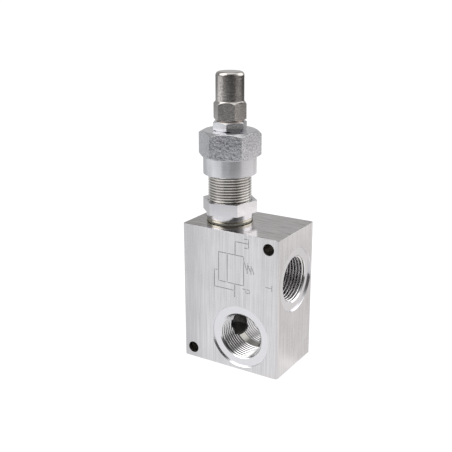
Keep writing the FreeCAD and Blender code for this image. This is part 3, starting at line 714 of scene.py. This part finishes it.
def sawnBar(name, look, coat):
    # Extruded bar, with a small rounded edge at both sawn ends. A level is (height, inset).
    edge = look["sawnEdge"]
    middle = edge * look["sawnEdgeShare"]
    levels = [(0.0, edge), (middle, middle), (edge, 0.0)]
    rings = levels + [(look["height"] - height, inset) for height, inset in reversed(levels)]
    points, faces = [], []
    for height, inset in rings:
        points += roundedRectangle(
            look["width"] - 2 * inset, look["depth"] - 2 * inset, look["cornerRadius"] - inset,
            look["cornerSteps"], height,
        )
    count = len(points) // len(rings)
    for level in range(len(rings) - 1):
        for step in range(count):
            low, after = level * count + step, level * count + (step + 1) % count
            faces.append((low, after, after + count, low + count))
    faces.append(tuple(range(count)))
    faces.append(tuple(range(len(points) - count, len(points))))
    return fromPoints(name, points, faces, coat)


def rod(radius, start, end):
    # Outline of a plain round cutter
    return ((0, start), (radius, start), (radius, end), (0, end))


def portCutters(row):
    floor = port["spotDepth"]
    countersink = floor + port["mouthRadius"] - port["radius"]
    edge = port["spotRadius"] + port["spotEdge"]
    out = -block["overrun"]
    mouth = (
        (0, out), (edge, out), (edge, 0), (port["spotRadius"], port["spotEdge"]),
        (port["spotRadius"], floor), (port["mouthRadius"], floor),
        (port["radius"], countersink), (port["radius"], row["thread"]), (0, row["thread"]),
    )
    band = rod(port["bandRadius"], row["thread"] - block["overrun"], row["length"] + port["bandOverrun"])
    return [
        lathe(row["name"], mouth, block["steps"], "boredAluminium", row["centre"], row["along"]),
        lathe(row["name"] + "Band", band, block["steps"], row["band"], row["centre"], row["along"]),
    ]


# Marks on the front face, in mm from left to right and upwards: the sign for a relief valve and
# the letters of the two ports. The dots are close together, as a peening needle leaves them.
marks = {
    "envelope": ((-6.7, 66.7), (9.0, 66.7), (9.0, 50.2), (-6.7, 50.2), (-6.7, 66.7)),
    "spool": ((-1.5, 66.2), (-1.5, 50.7)),
    "spoolBeside": ((-1.0, 66.2), (-1.0, 50.7)),
    "tankLine": ((3.7, 67.1), (3.7, 74.2), (11.2, 74.2)),
    "tank": ((9.4, 76.6), (11.8, 76.6), (11.8, 71.6), (9.4, 71.6)),
    "pressureLine": ((3.5, 49.8), (3.5, 42.8)),
    "pilotLine": ((3.0, 46.4), (-9.3, 46.4)),
    "pilotRise": ((-9.3, 47.0), (-9.3, 56.3), (-7.1, 56.3)),
    "spring": ((9.4, 64.0), (11.3, 57.8), (11.3, 63.6), (13.6, 57.4), (13.4, 62.6), (15.2, 58.2)),
    "letterP": ((8.5, 48.4), (12.6, 48.4), (12.6, 46.4), (10.4, 46.4), (10.4, 48.0)),
    "letterTBar": ((26.1, 50.9), (26.1, 53.5)),
    "letterTStem": ((22.5, 52.2), (25.7, 52.2)),
}
dots = {"Spacing": 0.58 * mm, "Dot Radius": 0.27 * mm, "Dot Depth": 0.34 * mm, "Overrun": 0.04 * mm}


def markCutter():
    points, edges = [], []
    for line in marks.values():
        for number, (across, up) in enumerate(line):
            if number:
                edges.append((len(points) - 1, len(points)))
            points.append((across * mm, -faceY * mm, up * mm))
    mesh = bpy.data.meshes.new("marks")
    mesh.from_pydata(points, edges, [])
    return grown("marks", dotTree(), dots, "shadedDotAluminium", mesh)


valveBlock = sawnBar("block_body", block, "extrudedAluminium")
cutters = [lathe("cavity", block["cavity"], block["steps"], "cavityAluminium")]
for row in ports:
    cutters += portCutters(row)
hole = rod(block["holeRadius"], -block["overrun"], block["depth"] + block["overrun"])
for across, up in block["holes"]:
    centre = (across, -faceY, up)
    cutters.append(lathe("hole", hole, block["holeSteps"], "shadedHoleAluminium", centre, (0, 1, 0)))
lead = port["threadLead"]
for row in ports:
    cutters.append(threadCutter(row["name"] + "Thread", port, -lead, row["thread"] + lead,
                                row["centre"], row["along"], row["coat"]))
cutters.append(markCutter())
cut(valveBlock, cutters)
smoothed(valveBlock, sharpAbove=block["sharpAbove"])
stands(valveBlock, "valve_block", "block")


# The cartridge's sleeve, in mm. Both outlines are lathe outlines. Its windows let the oil out to the
# tank port, the first of them windowTurn degrees from X.
sleeve = {
    "outside": (
        (0, 32.56), (9.81, 32.56), (10.31, 33.06), (10.31, 34.26), (8.4, 34.26), (8.4, 38.26),
        (10.31, 38.26), (10.31, 39.76), (10.0, 40.07), (10.0, 59.15), (11.85, 61.0), (11.85, 75.45),
        (10.4, 76.9), (10.4, 80.6), (11.85, 82.05), (11.85, 116.1), (10.3, 116.1), (10.3, 118.1),
        (11.35, 118.1), (11.35, 119.0), (0, 119.0),
    ),
    "inside": (
        (0, 31.5), (7.43, 31.5), (7.43, 33.26), (7.98, 33.26), (7.98, 34.29), (7.43, 34.29),
        (7.43, 41.29), (6.6, 41.29), (6.6, 42.19), (8.25, 43.84), (8.25, 118.5), (8.75, 119.0),
        (8.75, 120.0), (0, 120.0),
    ),
    "steps": 128, "sharpAbove": 42.0,
    "windowRadius": 3.0, "windowCount": 4, "windowHeight": 47.56, "windowTurn": 45.0,
    "windowReach": 12.0, "windowSteps": 48,
    "threadFrom": 59.6, "threadTo": 117.4,
    "thread": {
        "radius": 11.85, "pitch": 1.5, "depth": -0.9, "offCrest": 0.06, "widthShare": 0.97, "steps": 96,
    },
}


def makeSleeve():
    piece = lathe("sleeve_threaded", sleeve["outside"], sleeve["steps"], "turnedSteel")
    cutters = [lathe("bore", sleeve["inside"], sleeve["steps"], "turnedSteel")]
    window = rod(sleeve["windowRadius"], 0, sleeve["windowReach"])
    centre = (cartridgeX, 0, sleeve["windowHeight"])
    for number in range(sleeve["windowCount"]):
        angle = math.radians(sleeve["windowTurn"] + 360 / sleeve["windowCount"] * number)
        outwards = (math.cos(angle), math.sin(angle), 0)
        cutters.append(lathe("window", window, sleeve["windowSteps"], "turnedSteel", centre, outwards))
    length = sleeve["threadTo"] - sleeve["threadFrom"]
    cutters.append(threadCutter("sleeveGroove", sleeve["thread"], sleeve["threadFrom"], length,
                                (cartridgeX, 0, 0), (0, 0, 1), "threadedSteel"))
    return smoothed(cut(piece, cutters), sharpAbove=sleeve["sharpAbove"])


stands(makeSleeve(), "cartridge_sleeve", "block")


# The adjusting screw, in mm
screw = {
    "threadFrom": 113.8, "threadTo": 151.0, "sharpAbove": 42.0,
    "thread": {
        "radius": 5.0, "pitch": 1.5, "depth": -0.9, "offCrest": 0.05, "widthShare": 0.97, "steps": 56,
    },
}


def makeScrew():
    piece = copyOf("adjusting_screw", "screw_threaded", "turnedSteel")
    length = screw["threadTo"] - screw["threadFrom"]
    cutter = threadCutter("screwGroove", screw["thread"], screw["threadFrom"], length,
                          (cartridgeX, 0, 0), (0, 0, 1), "turnedSteel")
    return smoothed(cut(piece, [cutter]), sharpAbove=screw["sharpAbove"])


stands(makeScrew(), "adjusting_screw", "screw")


# Nuts, housing, cap, washer and spring plates keep the CAD shapes and get their edges rounded, by the
# last number in mm
edgedPieces = (
    ("housing_edged", "spring_housing", "block", "plated_steel", "housingSteel", 0.18),
    ("lock_nut_edged", "adjuster_lock_nut", "lock_nut", "plated_steel", "lockNutSteel", 0.12),
    ("cap_edged", "protective_cap", "cap", "cap_steel", "capSteel", 0.15),
    ("sleeve_nut_edged", "sleeve_lock_nut", "block", "nut_steel", "nutSteel", 0.12),
    ("mouth_washer_edged", "mouth_washer", "block", "yellow_plated_steel", "yellowPlating", 0.15),
    ("lower_plate_edged", "lower_spring_plate", "poppet", "machined_steel", "turnedSteel", 0.08),
    ("upper_plate_edged", "upper_spring_plate", "upper_plate", "machined_steel", "turnedSteel", 0.1),
)
for name, node, body, slot, coat, edge in edgedPieces:
    stands(smoothed(copyOf(node, name, coat), edge), node, body)


# O-rings lie in the grooves that the CAD gives them, and take their sizes from there
ringGraph = ringTree()
ringSharpAbove = 60.0
roundRings = (
    ("mouth_ring_round", "mouth_o_ring", "oilAndSheenRubber"),
    ("seat_ring_round", "seat_o_ring", "blackRubber"),
    ("nose_ring_round", "nose_o_ring", "blackRubber"),
    ("housing_ring_round", "housing_o_ring", "blackRubber"),
)
for name, node, coat in roundRings:
    low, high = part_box(node)
    section = (high.z - low.z) / 2
    ring = grown(name, ringGraph, {
        "Radius": (high.x - low.x) / 2 - section, "Section Radius": section,
        "Height": (low.z + high.z) / 2,
    }, coat)
    stands(smoothed(ring, sharpAbove=ringSharpAbove), node, "block")


# The main spring, in mm. ground is what is ground off each end, and lift is how far the poppet opens.
spring = {
    "meanRadius": 6.1, "width": 2.6, "height": 2.5, "ground": 1.1, "lift": 2.5,
    "closedPitch": 2.6, "openPitch": 5.6, "closedTurns": 1.0, "stepsPerTurn": 48, "sharpAbove": 30.0,
}
springLow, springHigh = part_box("main_spring")
springLength = springHigh.z - springLow.z
wireMiddle = (spring["height"] / 2 - spring["ground"]) * mm
climb = springLength - 2 * wireMiddle
openTurns = (climb - 2 * spring["closedTurns"] * spring["closedPitch"] * mm) / (spring["openPitch"] * mm)
totalTurns = openTurns + 2 * spring["closedTurns"]
coil = grown("spring_wound", coilTree(), {
    "Mean Radius": spring["meanRadius"] * mm, "Wire Width": spring["width"] * mm,
    "Wire Height": spring["height"] * mm,
    "Bottom": springLow.z, "Length": springLength, "Total Turns": totalTurns,
    "Closed Turns": spring["closedTurns"], "Closed Pitch": spring["closedPitch"] * mm,
    "Open Pitch": spring["openPitch"] * mm, "Start": springLow.z + wireMiddle,
    "Points": round(totalTurns * spring["stepsPerTurn"]),
}, "springSteel")
stands(smoothed(coil, sharpAbove=spring["sharpAbove"]), "main_spring", "block")
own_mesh(coil)


# CAD pieces that keep their shape
kept = {
    "valve_seat": "hardenedSteel", "poppet": "hardenedSteel", "seat_retaining_ring": "springSteel",
    "nose_backup_ring": "whitePtfe", "lock_nut_seal": "blackRubber", "cap_seal_washer": "annealedCopper",
}
for node, coat in kept.items():
    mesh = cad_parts[node].data
    mesh.materials.clear()
    mesh.materials.append(materials[coat])
print("CAD pieces coated", len(kept))


# What the metal mirrors below the horizon: how much darker the table is towards an azimuth.
# Edges are cosines, from where the shade starts to where it is full. Distances are in mm, and until
# is where the shade ends again.
tableShades = (
    {"azimuth": 297, "edges": (0.80, 0.90), "distances": (250, 460), "shade": 0.50},
    {"azimuth": 283, "edges": (0.60, 0.86), "distances": (580, 830), "shade": 0.80},
    {"azimuth": 322, "edges": (0.80, 0.96), "distances": (250, 620), "shade": 0.83},
    {"azimuth": 312, "edges": (0.70, 0.86), "distances": (700, 1050), "shade": 0.89},
    {"azimuth": 30, "edges": (0.30, 0.70), "distances": (250, 1000), "shade": 0.83},
    {"azimuth": 30, "edges": (0.30, 0.70), "distances": (820, 1100), "shade": 1.02},
    {"azimuth": 165, "edges": (0.85, 0.97), "distances": (820, 1100), "shade": 0.65},
    {"azimuth": 195, "edges": (0.86, 0.97), "distances": (330, 360), "until": (430, 480), "shade": 0.45},
    {"azimuth": 118, "edges": (0.55, 0.95), "distances": (300, 1000), "shade": 0.75},
    {"azimuth": 155, "edges": (0.80, 0.97), "distances": (150, 320), "shade": 0.34},
    {"azimuth": 50, "edges": (0.60, 0.90), "distances": (22, 34), "until": (240, 290), "shade": 0.29},
)


# The table itself. The glow is what metal mirrors of it, more of it towards brightTo and warmer
# towards warmTo. The camera sees white, with a share of the shadow that fades out with distance.
tableLook = {
    "side": 3000, "below": 0.02,
    "glow": 0.93, "leastGlow": 0.04, "brightTo": 30, "brightEdges": (0.75, 0.95), "brighter": 0.15,
    "warmTo": 40, "warmEdges": (-0.4, 0.9), "cool": (0.975, 0.985, 1.0), "warm": (1.0, 0.972, 0.96),
    "white": 1.06, "lit": (0.9, 0.9, 0.9), "whiteShare": 0.86, "shadowEnds": (200, 500),
}


def makeFloor():
    material, graph = newGraph("whiteTable")
    x, y = graph.parts(objectPoint(graph))[:2]
    distance = (x * x + y * y) ** 0.5

    def towards(azimuth):
        angle = math.radians(azimuth)
        return (x * math.cos(angle) + y * math.sin(angle)) / distance

    shade = distance * 0.0  # none, until a row below darkens it
    for row in tableShades:
        patch = towards(row["azimuth"]).step(*row["edges"]) * distance.step(*row["distances"])
        if "until" in row:
            patch = patch * distance.step(*reversed(row["until"]))
        shade = shade.most(patch * row["shade"])
    look = tableLook
    bright = towards(look["brightTo"]).step(*look["brightEdges"]) * look["brighter"]
    glow = (look["glow"] + bright - shade).most(look["leastGlow"])
    warmth = towards(look["warmTo"]).step(*look["warmEdges"])
    tint = graph.mixed(warmth, colour(look["cool"]), colour(look["warm"]))
    white = {"Color": colour((1, 1, 1)), "Strength": look["white"]}
    seen = graph.node("ShaderNodeEmission", None, white)
    shaded = graph.node("ShaderNodeVectorMath", {"operation": "SCALE"}, {0: tint, "Scale": glow})
    mirrored = graph.node("ShaderNodeEmission", None, {"Color": shaded, "Strength": 1.0})
    lit = graph.node("ShaderNodeBsdfDiffuse", None, {"Color": colour(look["lit"])})
    camera = graph.node("ShaderNodeLightPath", output="Is Camera Ray")
    glossy = graph.node("ShaderNodeLightPath", output="Is Glossy Ray")
    fade = distance.step(*look["shadowEnds"]) * (1 - look["whiteShare"])
    table = graph.mixedShaders(camera * (look["whiteShare"] + fade), lit, seen)
    close(graph, graph.mixedShaders(glossy, table, mirrored))
    side = look["side"]
    corners = ((-side, -side), (side, -side), (side, side), (-side, side))
    mesh = bpy.data.meshes.new("floor")
    mesh.from_pydata([Vector((x, y, -look["below"])) * mm for x, y in corners], [], [(0, 1, 2, 3)])
    floor = newObject("floor", mesh)
    mesh.materials.append(material)


# What the metal mirrors above the table, added to the plain room
roomLights = (
    {"azimuth": 0, "elevation": 90, "edges": (0.80, 0.93), "light": 0.70},
    {"azimuth": 45, "elevation": 25, "edges": (0.76, 0.94), "light": 1.30},
    {"azimuth": 122, "elevation": 17, "edges": (0.85, 0.97), "light": 0.14},
    {"azimuth": 230, "elevation": 40, "edges": (0.80, 0.95), "light": 2.20},
    {"azimuth": 303, "elevation": 5, "edges": (0.60, 0.85), "light": -0.28},
)
# mirrored is the plain room in the metal, lighting is how it lights the object, and the camera sees
# lighting and seenMore together
roomLook = {"mirrored": 0.38, "leastMirrored": 0.05, "lighting": 0.62, "seenMore": 0.40}


def makeStudio():
    world = bpy.data.worlds.new("studio")
    scene.world = world
    world.use_nodes = True
    world.node_tree.nodes.clear()
    graph = Graph(world.node_tree)
    x, y, z = graph.parts(graph.node("ShaderNodeTexCoord", output="Generated"))
    room = roomLook["mirrored"]
    for row in roomLights:
        turn, rise = math.radians(row["azimuth"]), math.radians(row["elevation"])
        level = math.cos(rise)
        towards = x * (math.cos(turn) * level) + y * (math.sin(turn) * level) + z * math.sin(rise)
        room = room + towards.step(*row["edges"]) * row["light"]
    glossy = graph.node("ShaderNodeLightPath", output="Is Glossy Ray")
    camera = graph.node("ShaderNodeLightPath", output="Is Camera Ray")
    plain = roomLook["lighting"] + camera * roomLook["seenMore"]
    strength = room.most(roomLook["leastMirrored"]) * glossy + (1.0 - glossy) * plain
    grey = graph.vector(strength, strength, strength)
    sky = graph.node("ShaderNodeBackground", None, {"Color": grey, "Strength": 1.0})
    graph.node("ShaderNodeOutputWorld", None, {"Surface": sky})


# Soft lamps, in metres and watts, that look at a point low in the middle of the object
lampAim = (0, 0, 0.07)
lamps = (
    {"name": "softBox", "place": (-0.15, -0.25, 0.95), "side": 0.7, "power": 9.0},
    {"name": "sideLamp", "place": (0.65, 0.30, 0.60), "side": 0.4, "power": 3.0},
)


def makeLamps():
    for row in lamps:
        data = bpy.data.lights.new(row["name"], "AREA")
        data.shape = "SQUARE"
        data.size = row["side"]
        data.energy = row["power"]
        lamp = bpy.data.objects.new(row["name"], data)
        scene.collection.objects.link(lamp)
        lamp.location = row["place"]
        back = Vector(row["place"]) - Vector(lampAim)
        lamp.rotation_euler = back.to_track_quat("Z", "Y").to_euler()
        lamp.visible_glossy = False


# Where the camera stands (m), where it looks, its roll (degrees) and its lens and sensor (mm)
shot = {
    "place": (0.202145, -0.346612, 0.204914), "along": (-0.504761, 0.807833, -0.304338),
    "roll": -0.125, "lens": 61.107, "sensor": 36, "nearest": 0.01,
}


def makeCamera():
    data = bpy.data.cameras.new("camera")
    data.sensor_width = shot["sensor"]
    data.lens = shot["lens"]
    data.clip_start = shot["nearest"]
    camera = bpy.data.objects.new("camera", data)
    scene.collection.objects.link(camera)
    level = Vector(shot["along"]).to_track_quat("-Z", "Y").to_matrix().to_4x4()
    roll = Matrix.Rotation(math.radians(shot["roll"]), 4, "Z")
    camera.matrix_world = Matrix.Translation(shot["place"]) @ level @ roll
    scene.camera = camera


makeFloor()
makeStudio()
makeLamps()
makeCamera()
scene.view_settings.view_transform = "Standard"
print("stage made")
